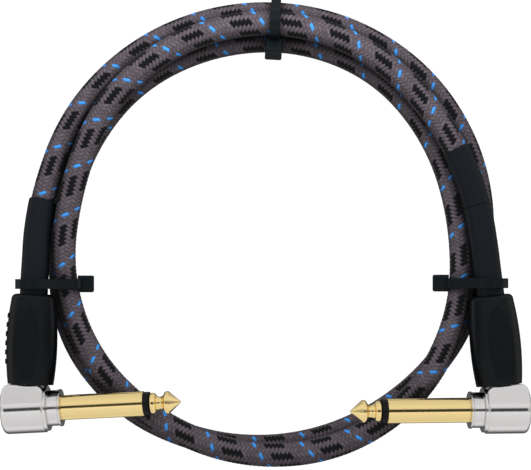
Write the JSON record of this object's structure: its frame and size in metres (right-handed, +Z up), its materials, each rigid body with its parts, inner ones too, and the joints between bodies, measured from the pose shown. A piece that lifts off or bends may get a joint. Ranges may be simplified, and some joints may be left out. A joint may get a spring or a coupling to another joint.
{
  "type": "instrument cable",
  "caption": "Coiled woven-jacket instrument patch cable with right-angle 6.35 mm phone plugs, moulded grips, heat-shrink sleeves and cable ties.",
  "frame": {"origin": "on the surface that the coil lies on, under the middle of the whole assembly", "axes": "+Z up from the surface, +X across the coil from the left plug to the right plug, +Y from the plugs towards the far side of the coil"},
  "size_m": [0.1351, 0.12, 0.0228],
  "materials": {
    "woven_jacket": "woven cotton and polyester braid, grey-brown with black bars and blue flecks",
    "heat_shrink": "black polyolefin heat-shrink, satin",
    "grip_plastic": "black moulded grip, satin",
    "gold_plate": "polished gold plate",
    "nickel_plate": "polished nickel plate",
    "black_insulator": "black moulded insulator",
    "tinned_brass": "tinned solder terminal",
    "copper": "bare copper strands",
    "white_insulation": "core insulation",
    "tie_nylon": "black nylon, lightly mottled"
  },
  "bodies": {
    "cable_assembly": {"cable": "woven_jacket", "left_heat_shrink": "heat_shrink", "left_tip": "gold_plate", "left_tip_ring": "black_insulator", "left_sleeve": "gold_plate", "left_insulator": "black_insulator", "left_collar": "nickel_plate", "left_housing": "nickel_plate", "left_grip": "grip_plastic", "left_tip_lug": "tinned_brass", "left_ground_lug": "tinned_brass", "left_conductor": "copper", "left_core_insulation": "white_insulation", "left_shield_pigtail": "copper", "right_heat_shrink": "heat_shrink", "right_tip": "gold_plate", "right_tip_ring": "black_insulator", "right_sleeve": "gold_plate", "right_insulator": "black_insulator", "right_collar": "nickel_plate", "right_housing": "nickel_plate", "right_grip": "grip_plastic", "right_tip_lug": "tinned_brass", "right_ground_lug": "tinned_brass", "right_conductor": "copper", "right_core_insulation": "white_insulation", "right_shield_pigtail": "copper", "right_marker_sleeve": "heat_shrink", "tie_top": "tie_nylon", "tie_left": "tie_nylon", "tie_right": "tie_nylon"},
    "pawl_top": {"tie_top_pawl": "tie_nylon"},
    "pawl_left": {"tie_left_pawl": "tie_nylon"},
    "pawl_right": {"tie_right_pawl": "tie_nylon"}
  },
  "joints": [
    {"name": "tie_top_pawl_hinge", "type": "hinge", "parent": "cable_assembly", "child": "pawl_top", "pos_m": [0.00211, 0.04767, 0.01128], "axis": [-0.9984, 0.0558, 0], "range_deg": [0, 12], "stiffness_Nm_per_rad": 0.01},
    {"name": "tie_left_pawl_hinge", "type": "hinge", "parent": "cable_assembly", "child": "pawl_left", "pos_m": [-0.04591, -0.013, 0.0095], "axis": [0, -1, 0], "range_deg": [0, 12], "stiffness_Nm_per_rad": 0.01},
    {"name": "tie_right_pawl_hinge", "type": "hinge", "parent": "cable_assembly", "child": "pawl_right", "pos_m": [0.04479, -0.0128, 0.0098], "axis": [0, 1, 0], "range_deg": [0, 12], "stiffness_Nm_per_rad": 0.01}
  ]
}
